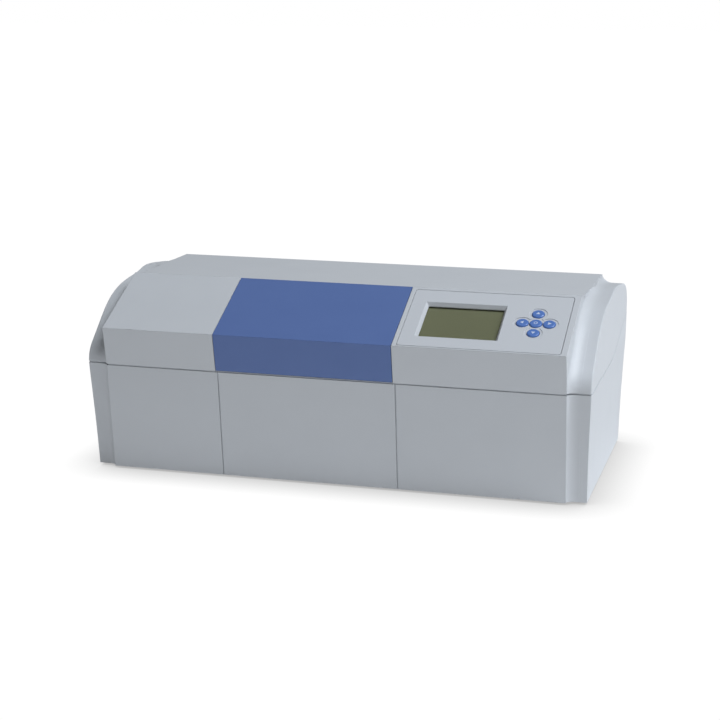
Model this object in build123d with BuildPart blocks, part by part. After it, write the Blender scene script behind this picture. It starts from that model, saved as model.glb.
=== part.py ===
from build123d import *
import os
from math import atan2, cos, degrees, pi, radians, sin, tan

# Bench-top automatic polarimeter. Millimetres, +X along the optical path to the
# right, +Y to the back, +Z up, origin on the table under the middle of the body.

# Housing
overall_length = 600
overall_depth = 320
cheek_width = 26.5
foot_drop = 3
wall = 3
lower_rise = 130
band_rise = 45
ridge_rise = 48
nose_overhang = 9
base_setback = 15
slope_run = 102.5
ridge_drop = 4
ridge_fall = 15
top_run = 158
top_fall = 2
back_slope_inset = 10
back_slope_drop = 22
back_edge_drop = 62
cheek_setback = 7.5
end_taper = 3.6
end_round = 1.5
scoop_steps = ((0, 6.5), (2.5, 3.2), (7, 0.9), (14, 0.1))
parting_gap = 1.6
parting_rebate = 1.2
rear_parting_rise = 36
seam_width = 1.2
seam_depth = 1.4
left_seam_shift = 2.8
right_seam_shift = 2.6
shoulder_reach = 40

# Sample compartment and lid
lamp_section = 163
display_section = 224
lid_gap = 0.6
lid_wall = 3
rib_depth = 5
slot_tail = 9
slot_back = 13
hinge_inset = 8
hinge_below_ridge = 12
hinge_pin_r = 1.5
hinge_eye_r = 4
arm_thickness = 5
running_clearance = 0.05
side_clearance = 0.3
chamber_front_inset = 12
chamber_back_inset = 10
chamber_wall = 3
cradle_thickness = 6
tube_r = 15

# Optical train
axis_setback = 60
axis_rise = 147
bench_top_rise = 87
bench_thickness = 10
bench_width = 66
bench_end_inset = 30
aperture_r = 9
mount_thickness = 14
mount_width = 48
lens_r = 14

# Analyser drive
gear_module = 0.9
wheel_teeth = 64
pinion_teeth = 16
gear_face = 8
mesh_gap = 0.25
tooth_fill = 0.4
pressure_angle = 20
drive_angle = -18
motor_r = 13
motor_length = 34
shaft_r = 2.5

# Display panel and keypad
fascia_from_bay = 5
fascia_from_end = 6.5
fascia_low = 2
fascia_high = 109
fascia_thickness = 2.5
window_inset = 20
window_length = 89
window_low = 23.5
window_high = 83
bezel_rim = 6
key_inset = 36.8
key_row = 56
key_pitch_x = 15.3
key_pitch_t = 17.7
key_r = 7.2
key_gap = 0.4
key_travel = 1.5
key_rise = 1
key_crown = 1.6
dish_rim = 3.2
dish_depth = 0.6

# Levels and lines worked out from the sizes above
base_z = foot_drop
parting_z = base_z + lower_rise
waist_z = parting_z - parting_gap / 2
nose_z = parting_z + band_rise
ridge_z = nose_z + ridge_rise
nose_y = -overall_depth / 2
front_y = nose_y + nose_overhang
foot_y = front_y + base_setback
ridge_y = nose_y + slope_run
back_y = overall_depth / 2
top_front_y = ridge_y + ridge_fall
top_front_z = ridge_z - ridge_drop
top_back_y = top_front_y + top_run
top_back_z = top_front_z - top_fall
slope_angle = degrees(atan2(ridge_rise, slope_run))
half_length = overall_length / 2
half_centre = half_length - cheek_width
bay_left = lamp_section - half_length
bay_right = half_length - display_section
axis_y = nose_y + axis_setback
axis_z = base_z + axis_rise
bench_z = base_z + bench_top_rise
floor_z = base_z + wall
bay_middle = (bay_left + bay_right) / 2
bench_length = overall_length - 2 * bench_end_inset
fascia_left = bay_right + fascia_from_bay
fascia_right = half_centre - fascia_from_end
window_left = fascia_left + window_inset
window_right = window_left + window_length
key_centre = (fascia_right - key_inset, key_row)

os.makedirs("parts", exist_ok=True)


def finish(piece, name):
    piece.part.label = name
    export_step(piece.part, f"parts/{name}.step")


# Sections of the moulded body, seen from the end
def centre_section(inset):
    with BuildSketch() as section:
        with BuildLine():
            Polyline(
                (foot_y, base_z),
                (front_y, waist_z),
                (nose_y, nose_z),
                (ridge_y, ridge_z),
                (top_front_y, top_front_z),
                (top_back_y, top_back_z),
                (back_y - back_slope_inset, top_back_z - back_slope_drop),
                (back_y, top_back_z - back_edge_drop),
                (back_y - base_setback, base_z),
                close=True,
            )
        make_face()
        if inset:
            offset(amount=-inset, kind=Kind.INTERSECTION)
    return section.sketch


# The crown of a cheek: how far back, how high, and which way its surface faces
crown_points = [
    (25, 27, 133),
    (58, 54, 122),
    (98, 73, 105),
    (160, 81, 91),
    (back_y - shoulder_reach - front_y, 76, 80),
]
cheek_fall = 0.15
shoulder_height = 12
cheek_back_z = top_back_z - back_edge_drop + shoulder_height


def cheek_section(inset):
    front = front_y + cheek_setback
    start = (front + inset, waist_z)
    crown = [
        (
            front_y + run - inset * cos(radians(facing)),
            parting_z + rise - inset * sin(radians(facing)),
        )
        for run, rise, facing in crown_points
    ]
    with BuildSketch() as section:
        with BuildLine():
            Line((front + base_setback + inset, base_z + inset), start)
            curve = Spline(start, *crown, tangents=((0, 1), (1, -cheek_fall)))
            shoulder_z = (curve @ 1).Y - cheek_fall * (back_y - inset - (curve @ 1).X)
            shoulder = Bezier(curve @ 1, (back_y - inset, shoulder_z), (back_y - inset, cheek_back_z))
            Polyline(
                shoulder @ 1,
                (back_y - inset, top_back_z - back_edge_drop),
                (back_y - base_setback - inset, base_z + inset),
                (front + base_setback + inset, base_z + inset),
            )
        make_face()
    return section.sketch


def prism(section, left, right):
    with BuildPart() as block:
        with BuildSketch(Plane.YZ.offset(left)):
            add(section)
        extrude(amount=right - left)
    return block.part


# The hollow curve that leads from the middle of the body out to a cheek
def cheek_scoop():
    with BuildPart() as scoop:
        for step, proud in scoop_steps:
            with BuildSketch(Plane.YZ.offset(half_centre + step)):
                add(cheek_section(-proud))
        loft()
        add(prism(centre_section(0.4), 0, half_length), mode=Mode.INTERSECT)
    return scoop.part


# The body as a closed block, drawn in by the wall where it is to be hollow
def body_block(inset):
    reach = half_length - inset
    with BuildPart() as block:
        add(prism(cheek_section(inset), -reach, reach))
        if not inset:
            ends = block.edges().filter_by(Axis.X, reverse=True)
            ends = [e for e in ends if abs(abs(e.center().X) - reach) < 0.01]
            fillet(ends, radius=end_round)
        add(prism(centre_section(inset), -half_centre + inset, half_centre - inset))
        if not inset:
            scoop = cheek_scoop()
            add(scoop)
            add(mirror(scoop, about=Plane.YZ, mode=Mode.PRIVATE))
        for side in (-1, 1):
            with BuildSketch(Plane.XZ.offset(-overall_depth)):
                with BuildLine():
                    flank = ThreePointArc(
                        (side * reach, waist_z),
                        (side * (reach - 0.7 * end_taper), (base_z + waist_z) / 2),
                        (side * (reach - end_taper), base_z - 1),
                    )
                    Polyline(
                        flank @ 1,
                        (side * (reach + 20), base_z - 1),
                        (side * (reach + 20), waist_z),
                        flank @ 0,
                    )
                make_face()
            extrude(amount=2 * overall_depth, mode=Mode.SUBTRACT)
    return block.part


# A slab that follows the parting line, level in front and rising at the back
def parting_slab(low, high):
    with BuildSketch() as section:
        with BuildLine():
            for shift in (low, high):
                Line((-overall_depth, parting_z + shift), (0, parting_z + shift))
                Spline(
                    (0, parting_z + shift),
                    (back_y + 5, parting_z + rear_parting_rise + shift),
                    tangents=((1, 0), (1, 0.2)),
                )
            for end in (-overall_depth, back_y + 5):
                rise = parting_z if end < 0 else parting_z + rear_parting_rise
                Line((end, rise + low), (end, rise + high))
        make_face()
    return prism(section.sketch, -overall_length, overall_length)


# The sloping front as a work plane: X along the body, Y up the slope, Z outwards
slope_normal = (0, -sin(radians(slope_angle)), cos(radians(slope_angle)))
slope = Plane(origin=(0, nose_y, nose_z), x_dir=(1, 0, 0), z_dir=slope_normal)

# The leaning back wall as a work plane: X to the left, Y up, Z outwards
back_lean = atan2(base_setback, top_back_z - back_edge_drop - base_z)
rear_low = 22
rear_high = 116
rear_middle = (rear_low + rear_high) / 2
rear = Plane(
    origin=(0, back_y - base_setback + rear_middle * tan(back_lean), base_z + rear_middle),
    x_dir=(-1, 0, 0),
    z_dir=(0, cos(back_lean), -sin(back_lean)),
)


# A block given by its two end corners
def block(low, high, mode=Mode.ADD):
    size = [h - l for l, h in zip(low, high)]
    with Locations(tuple((h + l) / 2 for l, h in zip(low, high))):
        Box(*size, mode=mode)


# A rod along X, Y or Z through the points given
def rod(places, radius, length, rotation=(0, 0, 0), mode=Mode.ADD):
    foot = (Align.CENTER, Align.CENTER, Align.MIN)
    with Locations(*places):
        Cylinder(radius, length, rotation=rotation, align=foot, mode=mode)


along_x = (0, 90, 0)
along_y = (-90, 0, 0)

# Lower shell: floor, leaning walls and recessed cheeks in one moulding
foot_x = half_length - 38
foot_places = [(x, y) for x in (-foot_x, foot_x) for y in (foot_y + 36, back_y - 45)]
boss_x = half_length - 18
boss_places = [(x, y) for x in (-boss_x, boss_x) for y in (foot_y + 18, back_y - 48)]
post_x = bench_length / 2 - 45
post_spread = 20
post_places = [(x, axis_y + y) for x in (-post_x, 0, post_x) for y in (-post_spread, post_spread)]
boss_r = 5
boss_drop = 12
boss_top = parting_z - boss_drop
boss_grip = 8
screw_r = 2
thread_clearance = 0.15
post_r = 6
post_wall = 2
socket_height = 6
rear_width = 300
rear_opening_rim = 8

# The rebate at the top of the lower shell makes the dark line round the body
with BuildPart() as parting_tongue:
    add(body_block(parting_rebate))
    add(parting_slab(-parting_gap - 1, 0), mode=Mode.INTERSECT)

with BuildPart() as base_shell:
    add(body_block(0))
    add(parting_slab(-parting_gap, ridge_z), mode=Mode.SUBTRACT)
    add(parting_tongue.part)
    add(body_block(wall), mode=Mode.SUBTRACT)
    for seam_x in (bay_left + left_seam_shift, bay_right + right_seam_shift):
        with BuildSketch(Plane.YZ.offset(seam_x - seam_width / 2)):
            with BuildLine():
                Polyline(
                    (foot_y - 5, base_z - 1),
                    (front_y - 5, parting_z),
                    (front_y + seam_depth, parting_z),
                    (foot_y + seam_depth, base_z - 1),
                    close=True,
                )
            make_face()
        extrude(amount=seam_width, mode=Mode.SUBTRACT)
    rod([(x, y, floor_z) for x, y in boss_places], boss_r, boss_top - floor_z)
    rod([(x, y, floor_z) for x, y in post_places], post_r + post_wall, socket_height)
    rod([(x, y, 0) for x, y in boss_places], screw_r, boss_top + 1, mode=Mode.SUBTRACT)
    rod([(x, y, 0) for x, y in foot_places], screw_r, floor_z + 1, mode=Mode.SUBTRACT)
    with BuildSketch(rear.offset(5)):
        RectangleRounded(*[side - 2 * rear_opening_rim for side in (rear_width, rear_high - rear_low)], 4)
    extrude(amount=-20, mode=Mode.SUBTRACT)
finish(base_shell, "base_shell")

# Upper shell: faceted middle, crowned cheeks, compartment notch and its walls
fascia_middle = ((fascia_left + fascia_right) / 2, (fascia_low + fascia_high) / 2)
fascia_size = (fascia_right - fascia_left, fascia_high - fascia_low)
fascia_ledge = 5
ledge_thickness = 2.5
with BuildPart() as cover_bosses:
    rod([(x, y, boss_top) for x, y in boss_places], boss_r, overall_depth)
    add(body_block(wall / 2), mode=Mode.INTERSECT)

with BuildPart() as bay_walls:
    add(prism(centre_section(wall / 2), bay_left - wall, bay_left))
    add(prism(centre_section(wall / 2), bay_right, bay_right + wall))
    block((bay_left - wall, ridge_y + slot_back, 0), (bay_right + wall, back_y, ridge_z), Mode.SUBTRACT)
    add(parting_slab(-overall_depth, 0), mode=Mode.SUBTRACT)

with BuildPart() as top_cover:
    add(body_block(0))
    add(parting_slab(-overall_depth, 0), mode=Mode.SUBTRACT)
    add(body_block(wall), mode=Mode.SUBTRACT)
    add(bay_walls.part)
    add(cover_bosses.part)
    block(
        (bay_left, nose_y - 1, parting_z - 1),
        (bay_right, ridge_y + lid_gap, ridge_z + 1),
        Mode.SUBTRACT,
    )
    block(
        (bay_left, ridge_y, top_front_z - 10),
        (bay_right, ridge_y + slot_back, ridge_z + 1),
        Mode.SUBTRACT,
    )
    block(
        (bay_right - 1, ridge_y + 3, top_front_z - 5),
        (bay_right + slot_tail, ridge_y + slot_back, ridge_z + 1),
        Mode.SUBTRACT,
    )
    light_path = [(bay_left - wall - 1, axis_y, axis_z)]
    rod(light_path, aperture_r, bay_right - bay_left + 2 * wall + 2, along_x, Mode.SUBTRACT)
    rod([(x, y, boss_top - 1) for x, y in boss_places], screw_r, 13, mode=Mode.SUBTRACT)
    with BuildSketch(slope.offset(-fascia_thickness)):
        with Locations(fascia_middle):
            RectangleRounded(fascia_size[0] + 3, fascia_size[1] + 3, 3)
    extrude(amount=-ledge_thickness)
    with BuildSketch(slope):
        with Locations(fascia_middle):
            RectangleRounded(*fascia_size, 3)
    extrude(amount=-fascia_thickness, mode=Mode.SUBTRACT)
    with BuildSketch(slope):
        with Locations(fascia_middle):
            RectangleRounded(*[side - 2 * fascia_ledge for side in fascia_size], 3)
    extrude(amount=-fascia_thickness - ledge_thickness - 1, mode=Mode.SUBTRACT)
finish(top_cover, "top_cover")

# Sample compartment lid: slope panel and front skirt in one, ribbed inside
pin_y = ridge_y + slot_back - hinge_inset
pin_z = ridge_z - hinge_below_ridge
lid_left = bay_left + lid_gap
lid_right = bay_right - lid_gap
arm_places = (bay_left + 36, bay_right - 36)
rib_places = [bay_middle - 60, bay_middle, bay_middle + 60]

with BuildPart() as lid_blank:
    add(prism(centre_section(0), lid_left, lid_right))
    add(prism(centre_section(lid_wall), lid_left - 1, lid_right + 1), mode=Mode.SUBTRACT)
    block((lid_left, ridge_y, 0), (lid_right, back_y, ridge_z), Mode.SUBTRACT)
    block((lid_left, nose_y, 0), (lid_right, back_y, parting_z + lid_gap), Mode.SUBTRACT)

with BuildPart() as lid_ribs:
    for x in rib_places:
        add(prism(centre_section(lid_wall), x - 1, x + 1))
    for x in rib_places:
        add(prism(centre_section(lid_wall + rib_depth), x - 2, x + 2), mode=Mode.SUBTRACT)
    block((lid_left, ridge_y - 24, 0), (lid_right, back_y, ridge_z), Mode.SUBTRACT)
    block((lid_left, nose_y, 0), (lid_right, back_y, parting_z + 10), Mode.SUBTRACT)

with BuildPart() as chamber_lid:
    add(lid_blank.part)
    add(lid_ribs.part)
    for x in arm_places:
        with BuildSketch(Plane.YZ.offset(x - arm_thickness / 2)):
            with BuildLine():
                Polyline(
                    (ridge_y - 28, nose_z + 33),
                    (ridge_y - 3, ridge_z - 4),
                    (pin_y, pin_z + hinge_eye_r),
                    (pin_y, pin_z - hinge_eye_r),
                    (ridge_y - 8, pin_z - hinge_eye_r),
                    close=True,
                )
            make_face()
            with Locations((pin_y, pin_z)):
                Circle(hinge_eye_r)
        extrude(amount=arm_thickness)
    pin_bore = [(bay_left, pin_y, pin_z)]
    rod(pin_bore, hinge_pin_r + running_clearance, bay_right - bay_left, along_x, Mode.SUBTRACT)
finish(chamber_lid, "chamber_lid")

# Sample trough: a light-tight tray between the notch walls, open to the front
trough_front = foot_y + chamber_front_inset - base_setback
trough_back = ridge_y - chamber_back_inset
trough_left = bay_left
trough_right = bay_right
shelf_z = pin_z - hinge_eye_r - 9
with BuildPart() as sample_trough:
    with BuildSketch(Plane.YZ.offset(trough_left)):
        with BuildLine():
            Polyline(
                (trough_front, bench_z),
                (trough_front, parting_z - 3),
                (trough_front + chamber_wall, parting_z - 3),
                (trough_front + chamber_wall, bench_z + chamber_wall),
                (trough_back - chamber_wall, bench_z + chamber_wall),
                (trough_back - chamber_wall, shelf_z),
                (pin_y + 9, shelf_z),
                (pin_y + 9, shelf_z - chamber_wall),
                (trough_back, shelf_z - chamber_wall),
                (trough_back, bench_z),
                close=True,
            )
        make_face()
    extrude(amount=trough_right - trough_left)
    for left in (trough_left, trough_right - chamber_wall):
        block((left, trough_front, bench_z), (left + chamber_wall, trough_back, shelf_z), Mode.ADD)
    for left in (trough_left, trough_right - chamber_wall):
        with BuildSketch(Plane.YZ.offset(left)):
            with BuildLine():
                Polyline(
                    (trough_front - 1, parting_z - 3),
                    (trough_front - 1, ridge_z),
                    (trough_back + 1, ridge_z),
                    (trough_back + 1, shelf_z),
                    (trough_back, shelf_z),
                    (nose_y + 40, nose_z),
                    (trough_front + 14, parting_z + 12),
                    (trough_front + 14, parting_z - 3),
                    close=True,
                )
            make_face()
        extrude(amount=chamber_wall, mode=Mode.SUBTRACT)
    rod([(trough_left - 1, axis_y, axis_z)], aperture_r, trough_right - trough_left + 2, along_x, Mode.SUBTRACT)
finish(sample_trough, "sample_trough")

# Lid hinge: two brackets on the trough's rear shelf, each with its own pin
bracket_ear = 2.5
bracket_reach = arm_thickness / 2 + side_clearance
with BuildPart() as hinge_brackets:
    for x in arm_places:
        for side in (-1, 1):
            inner = x + side * bracket_reach
            left = min(inner, inner + side * bracket_ear)
            with BuildSketch(Plane.YZ.offset(left)):
                with BuildLine():
                    Polyline(
                        (pin_y - 5, shelf_z),
                        (pin_y - 4, pin_z),
                        (pin_y + 4, pin_z),
                        (pin_y + 7, shelf_z),
                        close=True,
                    )
                make_face()
                with Locations((pin_y, pin_z)):
                    Circle(4)
            extrude(amount=bracket_ear)
        foot_left = x - bracket_reach - bracket_ear
        block((foot_left, pin_y - 5, shelf_z), (x + bracket_reach + bracket_ear, pin_y + 7, shelf_z + 2))
    rod([(bay_left, pin_y, pin_z)], hinge_pin_r, bay_right - bay_left, along_x, Mode.SUBTRACT)
finish(hinge_brackets, "hinge_brackets")

pin_length = 2 * (bracket_reach + bracket_ear) + 1
with BuildPart() as hinge_pins:
    rod([(x - pin_length / 2, pin_y, pin_z) for x in arm_places], hinge_pin_r, pin_length, along_x)
finish(hinge_pins, "hinge_pins")

# Cradle pieces that carry the sample tube on the light path
cradle_base_z = bench_z + chamber_wall
with BuildPart() as tube_cradles:
    for x in (bay_left + 30, bay_right - 30 - cradle_thickness):
        with BuildSketch(Plane.YZ.offset(x)):
            with Locations((axis_y, (cradle_base_z + axis_z - 4) / 2)):
                RectangleRounded(2 * tube_r + 16, axis_z - 4 - cradle_base_z, 2)
            with Locations((axis_y, axis_z)):
                Circle(tube_r, mode=Mode.SUBTRACT)
        extrude(amount=cradle_thickness)
finish(tube_cradles, "tube_cradles")

# Glass windows that close the light path at each end of the compartment
window_thickness = 2
with BuildPart() as chamber_windows:
    for x in (bay_left + chamber_wall, bay_right - chamber_wall - window_thickness):
        rod([(x, axis_y, axis_z)], aperture_r + 3, window_thickness, along_x)
finish(chamber_windows, "chamber_windows")

# Rubber feet with their screws and nuts
foot_r = 13
foot_recess = 1.6
head_r = 3.6
with BuildPart() as feet:
    for x, y in foot_places:
        rod([(x, y, 0)], foot_r, foot_drop)
    fillet(feet.edges().filter_by(GeomType.CIRCLE).group_by(Axis.Z)[0], radius=0.8)
    rod([(x, y, 0) for x, y in foot_places], screw_r, foot_drop, mode=Mode.SUBTRACT)
    rod([(x, y, 0) for x, y in foot_places], head_r + 0.4, foot_recess, mode=Mode.SUBTRACT)
finish(feet, "feet")

nut_height = 3
with BuildPart() as foot_screws:
    rod([(x, y, 0.4) for x, y in foot_places], head_r, foot_recess - 0.4)
    rod([(x, y, 0.4) for x, y in foot_places], screw_r - 0.2, floor_z + nut_height + 1)
finish(foot_screws, "foot_screws")

with BuildPart() as foot_nuts:
    with BuildSketch(Plane.XY.offset(floor_z)):
        with Locations(*foot_places):
            RegularPolygon(4, 6)
            Circle(screw_r, mode=Mode.SUBTRACT)
    extrude(amount=nut_height)
finish(foot_nuts, "foot_nuts")

# Long screws that hold the two shells together from below
case_head = 1.8
with BuildPart() as case_screws:
    heads = [(x, y, base_z - case_head) for x, y in boss_places]
    rod(heads, head_r, case_head)
    rod(heads, screw_r - thread_clearance, boss_top + boss_grip - base_z)
finish(case_screws, "case_screws")

# Optical bench: a channel on six pillars that carries everything on the light path
bench_head = 2.4
head_recess = 2.6
bench_screw_length = 20
bench_low_z = bench_z - bench_thickness
bench_skin = 4
bench_front = axis_y - bench_width / 2
with BuildPart() as optical_bench:
    block((-bench_length / 2, bench_front, bench_low_z), (bench_length / 2, bench_front + bench_width, bench_z))
    block(
        (-bench_length / 2 - 1, bench_front + bench_skin, bench_low_z - 1),
        (bench_length / 2 + 1, bench_front + bench_width - bench_skin, bench_z - bench_skin),
        Mode.SUBTRACT,
    )
    for x, y in post_places:
        rod([(x, y, bench_low_z)], post_r + 1, bench_thickness)
    rod([(x, y, bench_low_z - 1) for x, y in post_places], screw_r, bench_thickness + 2, mode=Mode.SUBTRACT)
    rod([(x, y, bench_z - head_recess) for x, y in post_places], head_r + side_clearance, 3, mode=Mode.SUBTRACT)
finish(optical_bench, "optical_bench")

with BuildPart() as bench_pillars:
    with BuildSketch(Plane.XY.offset(floor_z + socket_height)):
        with Locations(*post_places):
            RegularPolygon(post_r, 6)
            Circle(screw_r, mode=Mode.SUBTRACT)
    extrude(amount=bench_low_z - floor_z - socket_height)
finish(bench_pillars, "bench_pillars")

with BuildPart() as bench_screws:
    heads = [(x, y, bench_z - head_recess) for x, y in post_places]
    tips = [(x, y, bench_z - head_recess + bench_head - bench_screw_length - 1.8) for x, y in post_places]
    rod(heads, head_r, bench_head)
    rod(tips, screw_r - thread_clearance, bench_screw_length)
finish(bench_screws, "bench_screws")


# An upright block on the bench with an arched top and a bore on the light path
def optic_mount(left, thickness, width, bore_r, seat_r=0, seat_depth=0):
    with BuildPart() as mount:
        with BuildSketch(Plane.YZ.offset(left)):
            with Locations((axis_y, (bench_z + axis_z) / 2)):
                Rectangle(width, axis_z - bench_z)
            with Locations((axis_y, axis_z)):
                Circle(width / 2)
                Circle(bore_r, mode=Mode.SUBTRACT)
        extrude(amount=thickness)
        if seat_r:
            rod([(left, axis_y, axis_z)], seat_r, seat_depth, along_x, Mode.SUBTRACT)
    return mount


# Lamp end: housing, ceramic holder and bulb
lamp_left = 34 - half_length
lamp_size = 46
lamp_wall = 2
lamp_x = lamp_left + lamp_size / 2
lamp_headroom = 27
lamp_top = axis_z + lamp_headroom
vent_pitch = 6
with BuildPart() as lamp_housing:
    block(
        (lamp_left, axis_y - lamp_size / 2, bench_z),
        (lamp_left + lamp_size, axis_y + lamp_size / 2, lamp_top),
    )
    fillet(lamp_housing.edges().filter_by(Axis.Z), radius=4)
    block(
        (lamp_left + lamp_wall, axis_y - lamp_size / 2 + lamp_wall, bench_z - 1),
        (lamp_left + lamp_size - lamp_wall, axis_y + lamp_size / 2 - lamp_wall, lamp_top - lamp_wall),
        Mode.SUBTRACT,
    )
    rod([(lamp_x, axis_y, axis_z)], aperture_r, lamp_size, along_x, Mode.SUBTRACT)
    with Locations((lamp_x, axis_y, lamp_top)):
        with GridLocations(vent_pitch, 0, 5, 1):
            Box(2.5, 28, 10, mode=Mode.SUBTRACT)
finish(lamp_housing, "lamp_housing")

holder_height = 30
holder_r = 13
bulb_seat = 8
bulb_base_r = 7.2
with BuildPart() as lamp_holder:
    rod([(lamp_x, axis_y, bench_z)], holder_r, holder_height)
    seat = [(lamp_x, axis_y, bench_z + holder_height - bulb_seat)]
    rod(seat, bulb_base_r, bulb_seat, mode=Mode.SUBTRACT)
    chamfer(lamp_holder.edges().filter_by(GeomType.CIRCLE).sort_by(Axis.Z)[-1], length=1)
finish(lamp_holder, "lamp_holder")

bulb_r = 9
with BuildPart() as lamp_bulb:
    rod(seat, bulb_base_r, axis_z - bench_z - holder_height)
    with Locations((lamp_x, axis_y, axis_z)):
        Sphere(bulb_r)
finish(lamp_bulb, "lamp_bulb")

# Condenser, filter and polariser between lamp and compartment
lens_seat = 4
condenser_left = lamp_left + lamp_size + 6
lens_pocket = lens_seat + 2
condenser_mount = optic_mount(
    condenser_left, mount_thickness, mount_width, lens_r - 2, lens_r, lens_pocket
)
finish(condenser_mount, "condenser_mount")


# A plano-convex lens about the light path, its flat face to the right
def lens(left, radius, thickness, bulge):
    with BuildPart() as glass:
        with BuildSketch(Plane.XY.offset(axis_z)):
            with BuildLine():
                curve = ThreePointArc(
                    (left, axis_y - radius),
                    (left - bulge, axis_y),
                    (left, axis_y + radius),
                )
                Polyline(
                    curve @ 1,
                    (left + thickness, axis_y + radius),
                    (left + thickness, axis_y - radius),
                    curve @ 0,
                )
            make_face()
            with Locations((left + thickness / 2, axis_y - radius / 2)):
                Rectangle(4 * thickness, radius, mode=Mode.SUBTRACT)
        revolve(axis=Axis((0, axis_y, axis_z), (1, 0, 0)))
    return glass


lens_bulge = 1.6
condenser_lens = lens(condenser_left + 2, lens_r, lens_seat, lens_bulge)
finish(condenser_lens, "condenser_lens")

optic_gap = 4
thin_mount_width = mount_width - 8
filter_thickness = 8
filter_left = condenser_left + mount_thickness + optic_gap
filter_mount = optic_mount(filter_left, filter_thickness, thin_mount_width, aperture_r, aperture_r + 3, 3)
finish(filter_mount, "filter_mount")
with BuildPart() as interference_filter:
    rod([(filter_left, axis_y, axis_z)], aperture_r + 3, 3, along_x)
finish(interference_filter, "interference_filter")

polariser_thickness = 10
polariser_left = filter_left + filter_thickness + optic_gap
polariser_mount = optic_mount(polariser_left, polariser_thickness, thin_mount_width, aperture_r, aperture_r + 4, 4)
finish(polariser_mount, "polariser_mount")
with BuildPart() as polariser:
    rod([(polariser_left, axis_y, axis_z)], aperture_r + 4, 4, along_x)
finish(polariser, "polariser")

# Magneto-optic modulator: a glass rod in a wound coil on a saddle
coil_left = polariser_left + polariser_thickness + 3
coil_length = 28
coil_r = 17
flange = 2
rod_r = 5
with BuildPart() as modulator_coil:
    with BuildSketch(Plane.XY.offset(axis_z)):
        with BuildLine():
            Polyline(
                (coil_left, axis_y + rod_r),
                (coil_left, axis_y + coil_r + flange),
                (coil_left + flange, axis_y + coil_r + flange),
                (coil_left + flange, axis_y + coil_r),
                (coil_left + coil_length - flange, axis_y + coil_r),
                (coil_left + coil_length - flange, axis_y + coil_r + flange),
                (coil_left + coil_length, axis_y + coil_r + flange),
                (coil_left + coil_length, axis_y + rod_r),
                close=True,
            )
        make_face()
    revolve(axis=Axis((0, axis_y, axis_z), (1, 0, 0)))
finish(modulator_coil, "modulator_coil")
with BuildPart() as modulator_rod:
    rod([(coil_left - 1, axis_y, axis_z)], rod_r, coil_length + 2, along_x)
finish(modulator_rod, "modulator_rod")
with BuildPart() as coil_saddle:
    with BuildSketch(Plane.YZ.offset(coil_left + flange)):
        with Locations((axis_y, (bench_z + axis_z - 4) / 2)):
            Rectangle(thin_mount_width, axis_z - 4 - bench_z)
        with Locations((axis_y, axis_z)):
            Circle(coil_r, mode=Mode.SUBTRACT)
    extrude(amount=coil_length - 2 * flange)
finish(coil_saddle, "coil_saddle")

# Analyser: a bearing block, two bearings and a hollow hub with its gear
block_left = bay_right + 8
block_thickness = 14
bearing_r = 17
bearing_width = 4
hub_r = 12
hub_bore_r = aperture_r
collar = 3
hub_tail = 3
lightening_r = 3.6
lightening_ring_r = 20
wheel_left = block_left + block_thickness + collar + 1
analyser_block = optic_mount(block_left, block_thickness, mount_width, bearing_r)
finish(analyser_block, "analyser_block")

with BuildPart() as analyser_bearings:
    for left in (block_left, block_left + block_thickness - bearing_width):
        rod([(left, axis_y, axis_z)], bearing_r, bearing_width, along_x)
        rod([(left, axis_y, axis_z)], hub_r + running_clearance, bearing_width, along_x, Mode.SUBTRACT)
finish(analyser_bearings, "analyser_bearings")


# A spur gear about the X axis; the first tooth points along the angle given
def spur_gear(middle, left, teeth, angle):
    pitch_r = gear_module * teeth / 2
    half_pitch_angle = degrees(pi / teeth)
    half_tooth = tooth_fill * half_pitch_angle
    flank = degrees(tan(radians(pressure_angle)) * gear_module / pitch_r)

    def tooth_corner(radius, turn):
        return (radius * cos(radians(turn)), radius * sin(radians(turn)))

    root_r = pitch_r - 1.25 * gear_module
    with BuildPart() as gear:
        with BuildSketch(Plane(origin=(left, *middle), x_dir=(0, 1, 0), z_dir=(1, 0, 0))):
            Circle(root_r)
            with PolarLocations(0, teeth, start_angle=angle):
                with BuildLine():
                    Polyline(
                        tooth_corner(root_r - 0.2, half_tooth + 1.25 * flank),
                        tooth_corner(pitch_r + gear_module, half_tooth - flank),
                        tooth_corner(pitch_r + gear_module, flank - half_tooth),
                        tooth_corner(root_r - 0.2, -half_tooth - 1.25 * flank),
                        close=True,
                    )
                make_face()
        extrude(amount=gear_face)
    return gear


drive_reach = gear_module * (wheel_teeth + pinion_teeth) / 2 + mesh_gap
drive_y = axis_y + drive_reach * cos(radians(drive_angle))
drive_z = axis_z + drive_reach * sin(radians(drive_angle))
with BuildPart() as analyser_wheel:
    add(spur_gear((axis_y, axis_z), wheel_left, wheel_teeth, drive_angle).part)
    hub_length = wheel_left + gear_face + hub_tail - block_left
    rod([(block_left - 1, axis_y, axis_z)], hub_r, hub_length, along_x)
    rod([(wheel_left - collar, axis_y, axis_z)], hub_r + collar, collar, along_x)
    rod([(block_left - 2, axis_y, axis_z)], hub_bore_r, hub_length + 3, along_x, Mode.SUBTRACT)
    with BuildSketch(Plane(origin=(wheel_left - 1, axis_y, axis_z), x_dir=(0, 1, 0), z_dir=(1, 0, 0))):
        with PolarLocations(lightening_ring_r, 6):
            Circle(lightening_r)
    extrude(amount=gear_face + 2, mode=Mode.SUBTRACT)
finish(analyser_wheel, "analyser_wheel")

with BuildPart() as analyser_prism:
    rod([(wheel_left, axis_y, axis_z)], hub_bore_r, gear_face, along_x)
finish(analyser_prism, "analyser_prism")

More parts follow.
